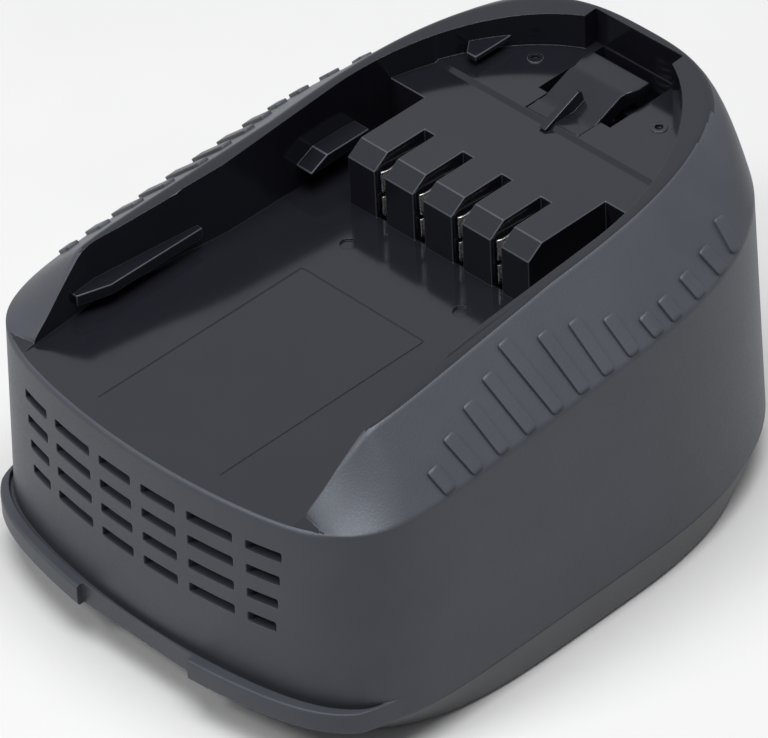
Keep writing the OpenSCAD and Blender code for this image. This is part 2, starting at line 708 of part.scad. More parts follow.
// Bead that rests on the rear bottom cell, on two stiff legs under the board
module thermistor() {
  bead_r = 1.2;
  bead_y = cells[4][0] + 2.8;
  bead_z = low_z + sqrt(cell_r * cell_r - 2.8 * 2.8) + bead_r + fit_gap;
  color(black) translate([-2, bead_y, bead_z]) rotate([0, 90, 0]) cylinder(r = bead_r, h = 4);
  color(steel) for (s = [-1, 1]) translate([s, bead_y, bead_z]) cylinder(r = 0.3, h = board_bottom - bead_z);
}

// Cells lie across the pack, with their raised poles on alternate sides
module cell(i) {
  side = i % 2 == 0 ? 1 : -1;
  color(sleeve) translate([0, cells[i][0], cells[i][1]]) rotate([0, side * 90, 0]) union() {
    translate([0, 0, -cell_l / 2]) cylinder(r = cell_r, h = cell_l - pole_h);
    translate([0, 0, cell_l / 2 - pole_h - 0.5]) cylinder(r = pole_r, h = pole_h + 0.5);
  }
}
module cell_1() { cell(0); }
module cell_2() { cell(1); }
module cell_3() { cell(2); }
module cell_4() { cell(3); }
module cell_5() { cell(4); }

// End frame: rings round the cells, flat where it stands on the base and meets the floor
module cell_frame(side) {
  inner_x = cell_l / 2 - 2.5 - frame_w;
  foot = base_t;
  head = floor_z - floor_t - 0.05;
  near = side > 0 ? inner_x : -inner_x - frame_w;
  color(black) across(near, near + frame_w) difference() {
    intersection() {
      union() {
        for (c = cells) translate(c) circle(r = cell_r + frame_ring);
        polygon([cells[0], cells[2], cells[4], cells[3], cells[1]]);
      }
      translate([front_y, foot]) square([overall_l, head - foot]);
    }
    for (c = cells) translate(c) circle(r = cell_r + 0.08);
  }
}
module cell_frame_left() { cell_frame(-1); }
module cell_frame_right() { cell_frame(1); }

// Straps and card in the side view: round-ended bars from point to point
module bar(a, b, w) {
  d = b - a;
  translate(a) circle(d = w);
  translate(b) circle(d = w);
  translate(a) rotate(atan2(d[1], d[0])) translate([0, -w / 2]) square([norm(d), w]);
}
module strap(side, a, b) {
  x = cell_l / 2;
  color(nickel) across(side > 0 ? x : -x - strap_t, side > 0 ? x + strap_t : -x) bar(a, b, strap_w);
}
negative_tab = cells[0] + [-3.4, 13.2];
positive_tab = cells[4] + [11.6, 2.8];
module strap_negative() { strap(-1, cells[0], negative_tab); }
module strap_12() { strap(1, cells[0], cells[1]); }
module strap_23() { strap(-1, cells[1], cells[2]); }
module strap_34() { strap(1, cells[2], cells[3]); }
module strap_45() { strap(-1, cells[3], cells[4]); }
module strap_positive() { strap(1, cells[4], positive_tab); }

module insulator(side) {
  x = cell_l / 2 + strap_t;
  color(card) across(side > 0 ? x : -x - card_t, side > 0 ? x + card_t : -x)
    for (i = [0 : 3]) bar(cells[i], cells[i + 1], strap_w + 3);
}
module insulator_left() { insulator(-1); }
module insulator_right() { insulator(1); }

// Power leads from the end straps to the underside of the board
lead_x = cell_l / 2 + strap_t + lead_r;
module negative_lead() {
  run_x = lead_x + card_t + 0.4;
  run_z = high_z + 0.615 * cell_r;
  tab = negative_tab;
  color(black) tube([[-lead_x, tab[0], tab[1]], [-lead_x, tab[0] + 0.6, tab[1] + 3],
    [-lead_x - 0.3, tab[0] + 2.5, run_z - 2], [-run_x, tab[0] + 6, run_z], [-run_x, cells[1][0], run_z],
    [-run_x, cells[2][0], run_z], [-run_x, cells[3][0], run_z], [-run_x + 0.6, cells[3][0] + 7, run_z],
    [-run_x + 4, board_y + 3, run_z - 0.3], [-board_half - 5, board_y + 5, run_z - 0.8],
    [-board_half - 1, board_y + 5.6, board_bottom - lead_r - 0.6],
    [3 - board_half, board_y + 5.8, board_bottom - lead_r]], lead_r, 8, [1, 0, 0]);
}
module positive_lead() {
  end_z = board_bottom - lead_r;
  tab = positive_tab;
  color(lead_red) tube([[lead_x, tab[0], tab[1]], [lead_x, tab[0] + 0.4, tab[1] + 3],
    [lead_x, tab[0] + 0.6, tab[1] + 7], [lead_x - 0.8, tab[0] + 0.4, tab[1] + 11],
    [lead_x - 3.2, tab[0], tab[1] + 15], [board_half + 5, tab[0] - 0.4, end_z - 1.2],
    [board_half + 1.5, tab[0] - 0.6, end_z - 0.2], [board_half - 3, tab[0] - 0.8, end_z]],
    lead_r, 8, [0, 1, 0]);
}

module case_screws() {
  seat = seam_z / 2;
  color(steel) for (p = screw_places) translate([p[0], p[1], 0]) {
    translate([0, 0, seat - 2]) difference() {
      cylinder(r = head_r, h = 2);
      translate([0, 0, -cut]) cylinder(r = 1.3, h = cut + 1.2, $fn = 6);
    }
    translate([0, 0, seat - 0.5]) cylinder(r = screw_r, h = screw_l);
  }
}
module board_screws() {
  color(steel) for (s = [-1, 1]) translate([s * board_screw_x, board_screw_y, board_bottom]) {
    translate([0, 0, -1.2]) cylinder(r = 1.7, h = 1.2);
    translate([0, 0, -0.5]) cylinder(r = 0.8, h = board_t + board_gap + 1.2);
  }
}

upper_shell();
base_cover();
latch_lever();
latch_pin();
latch_spring();
terminal_negative();
terminal_code();
terminal_temp();
terminal_positive();
terminal_block();
circuit_board();
power_transistors();
control_chip();
thermistor();
cell_1();
cell_2();
cell_3();
cell_4();
cell_5();
cell_frame_left();
cell_frame_right();
strap_negative();
strap_12();
strap_23();
strap_34();
strap_45();
strap_positive();
insulator_left();
insulator_right();
negative_lead();
positive_lead();
case_screws();
board_screws();
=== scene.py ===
"""Looks of a slide-on power tool battery pack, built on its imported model. Lengths are in millimetres."""
import math

import bmesh
import bpy
import numpy as np
from mathutils import Matrix, Vector


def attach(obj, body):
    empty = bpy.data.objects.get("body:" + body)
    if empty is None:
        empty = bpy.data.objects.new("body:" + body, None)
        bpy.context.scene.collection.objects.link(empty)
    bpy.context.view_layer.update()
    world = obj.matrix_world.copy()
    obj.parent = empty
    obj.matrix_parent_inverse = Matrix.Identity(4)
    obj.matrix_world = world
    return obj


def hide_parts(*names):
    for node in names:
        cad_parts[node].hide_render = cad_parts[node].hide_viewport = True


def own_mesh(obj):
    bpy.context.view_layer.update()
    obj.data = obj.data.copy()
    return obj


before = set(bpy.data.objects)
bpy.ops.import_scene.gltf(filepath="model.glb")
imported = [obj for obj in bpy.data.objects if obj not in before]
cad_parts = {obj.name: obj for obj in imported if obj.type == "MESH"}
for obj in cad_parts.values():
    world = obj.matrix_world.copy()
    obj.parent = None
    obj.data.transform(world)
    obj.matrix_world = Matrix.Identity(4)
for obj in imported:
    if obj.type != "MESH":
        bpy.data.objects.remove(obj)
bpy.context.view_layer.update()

# Camera: a long lens in front of the pack, to its right and well above it,
# with the picture turned by three degrees.
mm = 0.001
turn, height, roll = math.radians(47.392), math.radians(39.294), math.radians(-3.0)
aim, distance = Vector((2.971, -5.975, 28.198)), 833.34
back = Vector((math.sin(turn) * math.cos(height), -math.cos(turn) * math.cos(height), math.sin(height)))
level = Vector((math.cos(turn), math.sin(turn), 0))
raised = back.cross(level)
right = level * math.cos(roll) + raised * math.sin(roll)
up = raised * math.cos(roll) - level * math.sin(roll)
camera = bpy.data.objects.new("camera", bpy.data.cameras.new("camera"))
camera.data.lens = 284.98
camera.data.clip_end = 10
camera.matrix_world = (Matrix.Translation((aim + back * distance) * mm)
                       @ Matrix((right, up, back)).transposed().to_4x4())
bpy.context.scene.collection.objects.link(camera)
bpy.context.scene.camera = camera


# Upper shell: one housing injection-moulded in glass-filled nylon. The tool for its outside was
# spark-eroded to a fine matt grain, the one for its cavity was polished, so the cavity is glossy.
class Shade:
    """A shader value that joins in sums like a number, and makes further nodes in its tree."""

    def __init__(self, tree, socket):
        self.tree = tree
        self.socket = socket

    def node(self, kind, settings, inputs, output=0):
        node = self.tree.nodes.new(kind)
        for name, value in settings.items():
            setattr(node, name, value)
        for name, value in inputs.items():
            if isinstance(value, Shade):
                self.tree.links.new(value.socket, node.inputs[name])
            else:
                node.inputs[name].default_value = value
        return Shade(self.tree, node.outputs[output])

    def sum_of(self, operation, first, second):
        return self.node("ShaderNodeMath", {"operation": operation}, {0: first, 1: second})

    def __add__(self, other):
        return self.sum_of("ADD", self, other)

    def __sub__(self, other):
        return self.sum_of("SUBTRACT", self, other)

    def __rsub__(self, other):
        return self.sum_of("SUBTRACT", other, self)

    def __mul__(self, other):
        return self.sum_of("MULTIPLY", self, other)

    __radd__ = __add__
    __rmul__ = __mul__


def finish(name, **constants):
    """A material with its constant inputs set, its surface node and the place on the piece."""
    material = bpy.data.materials.new(name)
    material.use_nodes = True
    surface = material.node_tree.nodes["Principled BSDF"]
    for socket, value in constants.items():
        surface.inputs[socket.replace("_", " ")].default_value = value
    coordinates = material.node_tree.nodes.new("ShaderNodeTexCoord")
    return material, surface, Shade(material.node_tree, coordinates.outputs["Object"])


def feed(surface, socket, shade):
    """Links a shade to an input of a surface."""
    shade.tree.links.new(shade.socket, surface.inputs[socket])


def noise(place, size, detail, stretch=(1, 1, 1)):
    """Noise with patches of about a size in millimetres, longer where stretch is above 1."""
    scaled = place.node("ShaderNodeMapping", {},
                        {"Vector": place, "Scale": [1 / (s * size * mm) for s in stretch]})
    return scaled.node("ShaderNodeTexNoise", {}, {"Vector": scaled, "Scale": 1.0, "Detail": detail})


def between(shade, low, high):
    """Two colours mixed by a shade."""
    return shade.node("ShaderNodeMix", {"data_type": "RGBA"}, {0: shade, 6: (*low, 1), 7: (*high, 1)}, 2)


def soft_edges(place, radius):
    """Normals that run round each edge, and how near a point is to one."""
    eased = place.node("ShaderNodeBevel", {"samples": 6}, {"Radius": radius * mm})
    face = place.node("ShaderNodeNewGeometry", {}, {}, "Normal")
    along = eased.node("ShaderNodeVectorMath", {"operation": "DOT_PRODUCT"}, {0: eased, 1: face}, "Value")
    return eased, 1 - along


def bump(shade, depth, strength, normal):
    """Normals of a relief whose depth is in millimetres."""
    return shade.node("ShaderNodeBump", {}, {"Height": shade, "Strength": strength, "Distance": depth * mm,
                                             "Normal": normal})


def grained(name, patch, low, high, rough, strength, **constants):
    """Plastic with a spark-eroded grain, paler in patches and on its worn edges."""
    material, surface, place = finish(name, **constants)
    eased, edge = soft_edges(place, 0.25)
    grain = noise(place, 0.32, 3.0)
    patches = noise(place, patch, 4.0)
    worn = edge * 1.6 * patches
    feed(surface, "Base Color", between(patches * 0.7 + worn, low, high))
    feed(surface, "Roughness", rough + grain * 0.20)
    feed(surface, "Normal", bump(grain, 0.045, strength, eased))
    return material


cool_sheen = (0.84, 0.91, 1.0, 1.0)
outer = grained("shell_grain", 9.0, (0.027, 0.029, 0.036), (0.047, 0.050, 0.060), 0.34, 0.55,
                Specular_IOR_Level=0.40, Specular_Tint=cool_sheen)

gloss, surface, place = finish("cavity_gloss", Specular_IOR_Level=0.39, Specular_Tint=cool_sheen)
eased, edge = soft_edges(place, 0.12)
ripple = noise(place, 14.0, 2.0)
scuffs = noise(place, 0.8, 5.0, (1, 9, 1))
feed(surface, "Base Color", between(ripple * 0.8 + edge, (0.006, 0.006, 0.009), (0.010, 0.010, 0.014)))
feed(surface, "Roughness", 0.09 + scuffs * 0.08)
feed(surface, "Normal", bump(ripple, 0.05, 0.25, eased))
# Which of the shell's two finishes a face has
matt, polished = 0, 1

half_w, belly, front_reach, rear_reach = 39.25, 3.034, 53.3, 49.1
front_square, rear_square, crown, draft = 8.46, 2.73, 0.0044, 0.0365
seam_z, floor_z, deck_z, rear_floor_z, top_z = 6.4, 38.305, 48.205, 48.705, 54.605
rim_half, rim_front, rim_end, rim_square = 26.9, 47.8, 49.434, 2.8
rim_w, rim_flare, rim_slope = 0.9, 0.05, 0.081
nose_reach, nose_fall, nose_bend, nose_lip = 35.6, 0.78, 0.5, 0.7
crease_y, crease_lift, crease_slope, front_ledge = -38.316, 0.3, 0.062, 3.9
bulge_start, bulge_full = rim_end - 17.8, rim_end - 1.8


def squared(t, n):
    """Unit superellipse of squareness n."""
    c, s = np.abs(np.cos(t)), np.abs(np.sin(t))
    k = (c ** n + s ** n) ** (1 / n)
    return c / k, s / k


def outline(t, half, front, rear, square):
    """A squared ellipse with a longer, squarer, crowned front."""
    behind = np.sin(t) >= 0
    u, v = squared(t, np.where(behind, rear_square, square))
    x = np.sign(np.cos(t)) * half * u
    return x, belly + np.where(behind, rear, crown * x * x - front) * v


def wall_plan(t, inset):
    """Outline of the pack, drawn in by an inset."""
    return outline(t, half_w - inset, front_reach - inset, rear_reach - inset, front_square)


def rim_plan(t, inset):
    """Outline of the rim round the cavity, which flares towards the front."""
    behind = np.sin(t) >= 0
    u, v = squared(t, np.where(behind, rim_square, front_square))
    flare = np.where(behind, 0, rim_flare * rim_front * v)
    x = np.sign(np.cos(t)) * (rim_half - inset + flare) * u
    reach = np.where(behind, rim_end - belly - inset, rim_front - inset - crown * x * x)
    return x, belly + np.where(behind, reach, -reach) * v


def rim_z(y):
    """Height of the rim, which bends down to the two front noses."""
    ahead = belly - nose_reach - y
    fall = nose_fall / 2 * (ahead + np.sqrt(ahead ** 2 + nose_bend))
    return np.maximum(floor_z + nose_lip, top_z - rim_slope * (rim_end - y) - fall)


def lean(z):
    """How far the wall has leaned in at a height."""
    return (z - seam_z) * draft


def ease(low, high, v):
    """Goes from 0 to 1 between two values, without a kink."""
    k = np.clip((v - low) / (high - low), 0, 1)
    return k * k * (3 - 2 * k)


def ring(t, z, inset):
    """The pack's outline at a height."""
    x, y = wall_plan(t, inset)
    return np.stack([x, y, np.broadcast_to(z, x.shape)], axis=-1)


def band(t, share):
    """Grip band: share 0 is the crease above the flank, share 1 the rim."""
    _, y = wall_plan(t, 0)
    crease = floor_z + crease_lift + crease_slope * np.maximum(0, y - crease_y)
    across_front = 1 - ease(0.68, 0.86, squared(t, front_square)[0])
    ledge = np.where(np.sin(t) < 0, front_ledge * across_front, 0)
    x, y = wall_plan(t, lean(crease) + ledge)
    rim_x, rim_y = rim_plan(t, 0)
    bulge = ease(bulge_start, bulge_full, y)
    rise = share + bulge * share * (1 - share)
    return np.stack([x + (rim_x - x) * share, y + (rim_y - y) * share,
                     crease + (rim_z(rim_y) - crease) * rise], axis=-1)


def rounded(profile, radii, most=0.45, steps=6):
    """Rings in which each corner of the profile that has a radius is run round."""
    rings = []
    for i, corner in enumerate(profile):
        if not radii[i]:
            rings.append(corner)
            continue
        before, after = profile[i - 1] - corner, profile[i + 1] - corner
        to_before = np.linalg.norm(before, axis=-1, keepdims=True)
        to_after = np.linalg.norm(after, axis=-1, keepdims=True)
        start = corner + before * np.minimum(radii[i] / to_before, most)
        end = corner + after * np.minimum(radii[i] / to_after, most)
        for k in np.linspace(0, 1, steps):
            rings.append((1 - k) ** 2 * start + 2 * k * (1 - k) * corner + k * k * end)
    return rings


def solid(name, points, faces, material=matt):
    """A mesh object from points in millimetres, all its faces turned outwards."""
    mesh = bpy.data.meshes.new(name)
    mesh.from_pydata([tuple(float(c) * mm for c in p) for p in points], [], faces)
    work = bmesh.new()
    work.from_mesh(mesh)
    bmesh.ops.recalc_face_normals(work, faces=work.faces)
    for face in work.faces:
        face.material_index = material
    work.to_mesh(mesh)
    work.free()
    piece = bpy.data.objects.new(name, mesh)
    bpy.context.scene.collection.objects.link(piece)
    mesh.materials.append(outer)
    mesh.materials.append(gloss)
    return piece


def loft(name, rings, material=matt):
    """Closed skin through a stack of rings."""
    n, m = len(rings[0]), len(rings)
    sides = [(i * n + j, i * n + (j + 1) % n, (i + 1) * n + (j + 1) % n, (i + 1) * n + j)
             for i in range(m - 1) for j in range(n)]
    ends = [tuple(range(n)), tuple((m - 1) * n + j for j in range(n))]
    return solid(name, np.concatenate(rings), sides + ends, material)


def soften(piece, radius, planes=(), sharp_turn=0.4):
    """Cuts a piece by planes, closes it there, and runs its sharp edges round."""
    work = bmesh.new()
    work.from_mesh(piece.data)
    material = piece.data.polygons[0].material_index
    for point, normal in planes:
        cut = bmesh.ops.bisect_plane(work, geom=work.verts[:] + work.edges[:] + work.faces[:], dist=1e-7,
                                     plane_co=Vector(point) * mm, plane_no=normal, clear_outer=True)
        rim = [e for e in cut["geom_cut"] if isinstance(e, bmesh.types.BMEdge)]
        for face in bmesh.ops.holes_fill(work, edges=rim)["faces"]:
            face.material_index = material
    bmesh.ops.recalc_face_normals(work, faces=work.faces)
    sharp = [e for e in work.edges if len(e.link_faces) == 2 and e.calc_face_angle() > sharp_turn]
    bmesh.ops.bevel(work, geom=sharp, offset=radius * mm, segments=3, profile=0.5, affect="EDGES",
                    clamp_overlap=True)
    work.to_mesh(piece.data)
    work.free()
    return piece


def prism(name, plan, low, high, material=matt):
    """A plan outline raised from one height to another."""
    plan = np.asarray(plan, dtype=float)
    return loft(name, [np.column_stack([plan, np.full(len(plan), z)]) for z in (low, high)], material)


def across(name, profile, x0, x1, material=matt):
    """A profile in the side view (y, z) run across the pack."""
    profile = np.asarray(profile, dtype=float)
    return loft(name, [np.column_stack([np.full(len(profile), x), profile]) for x in (x0, x1)], material)


def block(name, low, high, material=matt):
    """A box between two corners."""
    return prism(name, [(low[0], low[1]), (high[0], low[1]), (high[0], high[1]), (low[0], high[1])],
                 low[2], high[2], material)


def disc(name, x, y, radius, low, high, material=matt, sides=48):
    """An upright cylinder."""
    t = np.arange(sides) * 2 * np.pi / sides
    return prism(name, np.column_stack([x + radius * np.cos(t), y + radius * np.sin(t)]), low, high, material)


def mirrored(plan):
    """The same outline on the other side of the pack."""
    return [(-x, y) for x, y in plan]


def both_sides(plan):
    """A closed outline from its right half."""
    return plan + mirrored(plan)[::-1]


def together(pieces):
    """One object from several that don't touch."""
    work = bmesh.new()
    for piece in pieces:
        work.from_mesh(piece.data)
    work.to_mesh(pieces[0].data)
    work.free()
    for piece in pieces[1:]:
        bpy.data.objects.remove(piece)
    return pieces[0]


def combine(piece, operation, *others):
    """Joins other solids to a piece, or cuts it with them, one after the other."""
    for other in others:
        step = piece.modifiers.new("step", "BOOLEAN")
        step.operation = operation
        step.solver = "EXACT"
        step.object = other
        result = bpy.data.meshes.new_from_object(piece.evaluated_get(bpy.context.evaluated_depsgraph_get()))
        piece.modifiers.clear()
        piece.data = result
        bpy.data.objects.remove(other)
    return piece


def smooth(piece, angle):
    """Smooth shading with sharp edges above an angle, and normals that keep the large faces flat."""
    piece.data.polygons.foreach_set("use_smooth", [True] * len(piece.data.polygons))
    piece.data.set_sharp_from_angle(angle=math.radians(angle))
    normals = piece.modifiers.new("normals", "WEIGHTED_NORMAL")
    normals.keep_sharp = True


around = np.radians(np.arange(480) * 0.75)
flank = [ring(around, z, lean(z)) for z in np.linspace(9.5, 35.5, 6)]
shares = [band(around, share) for share in np.linspace(0.12, 0.88, 7)]
rim_x, rim_y = rim_plan(around, rim_w)
profile = ([ring(around, seam_z, 0.3), ring(around, seam_z + 0.4, 0.02)] + flank
           + [ring(around, floor_z, lean(floor_z)), band(around, 0)] + shares
           + [band(around, 1), np.stack([rim_x, rim_y, rim_z(rim_y)], axis=-1)])
shoulder_r, crease_r, rim_r = 0.9, 0.6, 0.5
radii = [0] * (2 + len(flank)) + [shoulder_r, crease_r] + [0] * len(shares) + [rim_r, 0]
shell = loft("shell", rounded(profile, radii))
level_face, rim_low = 0.93, floor_z - 0.2
for face in shell.data.polygons:
    if face.normal.z > level_face and face.center.z > rim_low * mm:
        face.material_index = polished

skirt_half, skirt_fade, skirt_out, fade_depth = 38.5, 35.5, 2.4, 1.4
notch_half, notch_y = 11, -51.016
dense_x = skirt_half * np.sin(np.linspace(-0.5, 0.5, 801) * np.pi)
dense_k = (1 - (np.abs(dense_x) / half_w) ** front_square) ** (1 / front_square)
dense_y = (belly - (front_reach - crown * dense_x ** 2) * dense_k
           - skirt_out * (1 - fade_depth * ease(skirt_fade, skirt_half, np.abs(dense_x))))
run = np.append(0, np.cumsum(np.hypot(np.diff(dense_x), np.diff(dense_y))))
even = np.linspace(0, run[-1], 81)
skirt_x, skirt_y = np.interp(even, run, dense_x), np.interp(even, run, dense_y)


def skirt_stack(name, root_x, root_y, levels):
    """The skirt's outline through heights with an inset each. Its root lies inside the wall."""
    x = np.append(skirt_x, [root_x, -root_x])
    return loft(name, [np.column_stack([x, np.append(skirt_y + inset, [root_y, root_y]), np.full(len(x), z)])
                       for z, inset in levels])


skirt = skirt_stack("skirt", 36.5, -36, (
    (6.43, 0.3), (6.6, 0.1), (6.8, 0), (9.4, 0), (9.65, 0.06), (9.83, 0.2), (9.9, 0.42)))
groove = skirt_stack("groove", 36.3, -35.5, ((8.9, 1.8), (9.75, 1.75), (9.92, 1.64), (10.4, 1.64)))
notch = block("notch", (-notch_half, -60, 0), (notch_half, notch_y, 20))
combine(shell, "UNION", combine(skirt, "DIFFERENCE", groove, notch))

wall, hollow_top = 2.2, 36.7
coarse = np.radians(np.arange(120) * 3)
combine(shell, "DIFFERENCE", loft("hollow", [ring(coarse, seam_z - 1, wall),
                                             ring(coarse, hollow_top, wall + lean(hollow_top))]))

cav_y, cav_half, cav_reach, above = 12.634, 25.3, 35.5, top_z + 4
recess_half, recess_y = 8.4, 48.134
half_turn = np.radians(np.arange(0, 181, 2.5))


def rear_curve(grow):
    """Round rear of the cavity."""
    return [((cav_half + grow) * math.cos(t), cav_y + (cav_reach + grow) * math.sin(t)) for t in half_turn]


side = [(cav_half, -7.966), (27.7, -30.466), (26.3, -45.216), (26.3, -58)]
combine(shell, "DIFFERENCE",
        prism("cavity", rear_curve(0) + mirrored(side) + side[::-1], floor_z, above, polished),
        block("recess", (-recess_half, cav_y, rear_floor_z), (recess_half, recess_y + 0.2, above), polished))

slot_pitch, slot_half, comb_half, deck_half, rear_half = 7.5, 1, 17.5, 24.5, 22.3
tip_y, slot_y, channel_y, step_y = 8.134, 18.034, 23.184, 30.434
tip_long, tip_high, end_long, end_high = 2.7, 1.9, 1.4, 1
root_z = floor_z - 1
into_wall = rear_curve(0.4)
slots = [slot_pitch * (i - 1.5) for i in range(4)]
comb = [(-comb_half, channel_y), (-comb_half, tip_y)]
for slot_x in slots:
    comb += [(slot_x - slot_half, tip_y), (slot_x - slot_half, slot_y),
             (slot_x + slot_half, slot_y), (slot_x + slot_half, tip_y)]
comb += [(comb_half, tip_y), (comb_half, channel_y)]
deck_end = step_y + end_long
deck_rim = [(deck_half, channel_y)] + [(x, y) for x, y in into_wall if x > 0 and channel_y < y < deck_end]
deck_rim.append((deck_rim[-1][0], deck_end))
deck = soften(prism("deck", comb + both_sides(deck_rim), root_z, deck_z, polished), 0.3,
              [((0, tip_y, deck_z - tip_high), (0, -tip_high, tip_long)),
               ((0, deck_end, deck_z - end_high), (0, end_high, end_long))])
rear = [(rear_half, step_y)] + [(x, y) for x, y in into_wall if y > step_y + 0.2] + [(-rear_half, step_y)]
rear_floor = prism("rear_floor", rear, root_z, rear_floor_z, polished)
step_half, step_front, step_back, step_under = 22.2, step_y - 0.7, step_y + 0.3, deck_z - 0.5
step = across("step", [(step_front, deck_z), (step_front, step_under), (step_back, step_under),
                       (step_back, rear_floor_z), (step_y, rear_floor_z)], -step_half, step_half, polished)

rail_low, rail_high, back_rail_in, back_rail_out = 40.205, 42.005, 22.3, 26
ledge_low, ledge_high = 49.805, 50.605
rail = [(24.9, -12.866), (27.9, -12.866), (27.9, -34.866), (26.5, -34.866), (24.9, -29.866)]
back_rail = [(5.534, rail_high), (5.534, 42.305), (8.734, 43.805), (16.834, 43.805), (16.834, rail_high)]
ledge = [(-16.5, 32.434), (-18.3, 32.434), (-21.5, 36.434), (-21.5, 42.434), (-16.5, 42.434)]
fittings = [prism("rail", plan, rail_low, rail_high, polished) for plan in (rail, mirrored(rail))]
fittings += [across("back_rail", back_rail, *ends, polished)
             for ends in ((back_rail_in, back_rail_out), (-back_rail_out, -back_rail_in))]
fittings.append(prism("ledge", ledge, ledge_low, ledge_high, polished))
combine(shell, "UNION", deck, rear_floor, step, together([soften(piece, 0.15) for piece in fittings]))

pivot_y, pivot_z, barrel_r, well_z = 32.934, 46.475, 2.2, 41.505
spring_y, peg_r, post_top = 41.934, 1.6, 44.8
opening_half, pad_opening_half, pocket_half = 5.12, 6.9, 8.9
toe_y, pad_opening_y = pivot_y - barrel_r, pivot_y + barrel_r


def hub(radius, sides=32):
    """Circle round the lever's pivot in the side view."""
    t = np.arange(sides) * 2 * np.pi / sides
    return np.column_stack([pivot_y + radius * np.cos(t), pivot_z + radius * np.sin(t)])


opening = [(opening_half, toe_y - 0.1), (opening_half, pad_opening_y), (pad_opening_half, pad_opening_y),
           (pad_opening_half, recess_y)]
pocket_y, pocket_z = recess_y - 1.5, rear_floor_z - 1.6
combine(shell, "DIFFERENCE",
        prism("opening", both_sides(opening), well_z, rear_floor_z + 1, polished),
        block("pocket", (-pocket_half, pad_opening_y, well_z), (pocket_half, pocket_y, pocket_z), polished))
combine(shell, "UNION", disc("post", 0, spring_y, peg_r, well_z - 0.5, post_top, polished))
combine(shell, "DIFFERENCE", across("pin_hole", hub(1.02), -pocket_half, pocket_half, polished))

vent_top, vent_pitch, vent_h, vent_front, vent_back = 33.585, 4.1, 1.7, -54, -42
vent_columns = ((1.02, 7.47, 0), (9.54, 17.4, 0), (19.5, 25.15, 0.375))


def vent(s, row, near, far, slant):
    """A vent on the right or left of the front wall. The outer ones grow shorter down the rows."""
    x0, x1 = sorted((s * near, s * (far - slant * row)))
    z = vent_top - vent_pitch * row
    return soften(block("vent", (x0, vent_front, z - vent_h), (x1, vent_back, z)), 0.35)


line_deep, line_half, line_x, line_end, line_front, line_back = 0.08, 0.1, 11.9, 11.7, -44.47, -6.57
lines = [(x - line_half, line_front, x + line_half, line_back) for x in (-line_x, line_x)]
lines.append((-line_end, line_back - line_half, line_end, line_back + line_half))
passage_front, passage_back, passage_low = tip_y + 0.4, slot_y - 0.3, 35.5
dimple_x, dimple_y, collar_r = 11.95, 39.65, 1.2
dimples = ((11, 1.43, floor_z, 1.2), (dimple_x, dimple_y, rear_floor_z, 0.6))
cuts = [vent(s, row, *column) for s in (1, -1) for row in range(4) for column in vent_columns]
cuts += [block("passage", (x - slot_half, passage_front, passage_low),
               (x + slot_half, passage_back, floor_z + 0.5), polished) for x in slots]
cuts += [block("line", (x0, y0, floor_z - line_deep), (x1, y1, floor_z + 1), polished)
         for x0, y0, x1, y1 in lines]
cuts += [disc("dimple", s * x, y, radius, z - 0.3, z + 1, polished)
         for s in (-1, 1) for x, y, z, radius in dimples]
collars = [disc("collar", x, dimple_y, collar_r, rear_floor_z - 0.3, rear_floor_z + 0.2, polished)
           for x in (-dimple_x, dimple_x)]
combine(shell, "UNION", together([soften(collar, 0.1) for collar in collars]))
combine(shell, "DIFFERENCE", together(cuts))

screws = ((-12, -43.416), (12, -43.416), (-21.5, 28.934), (21.5, 28.934))
boss_r, boss_top, pilot_r, pilot_top = 2.7, 37.2, 1.32, 19.4
bosses = [disc("boss", x, y, boss_r, seam_z, boss_top) for x, y in screws]
combine(shell, "UNION", together(bosses))
pilots = [disc("pilot", x, y, pilot_r, seam_z - 1, pilot_top) for x, y in screws]
combine(shell, "DIFFERENCE", together(pilots))
smooth(shell, 28)
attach(shell, "pack")
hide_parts("upper_shell")

# Grip bars: raised ribs moulded on both grip bands, so that a hand finds a hold on the matt plastic.
# Each has its angle round the pack in degrees, at its foot and its head, and its share of the band.
bars = ((-33.5, -34.4, 0.33), (-28.8, -30.3, 0.50), (-23.9, -25.2, 0.63), (-18.3, -20.0, 0.73),
        (-12.3, -14.4, 0.88), (-6.2, -7.1, 0.71), (-0.3, -0.6, 0.62), (5.6, 5.3, 0.46), (11.4, 10.9, 0.27),
        (16.0, 15.6, 0.28), (22.2, 21.5, 0.31), (28.5, 27.5, 0.34), (33.5, 34.2, 0.40))
bar_half, bar_high, bar_sunk, bar_round, bar_edge, bar_foot = 1.05, 0.5, 0.35, 0.45, 0.12, 0.035


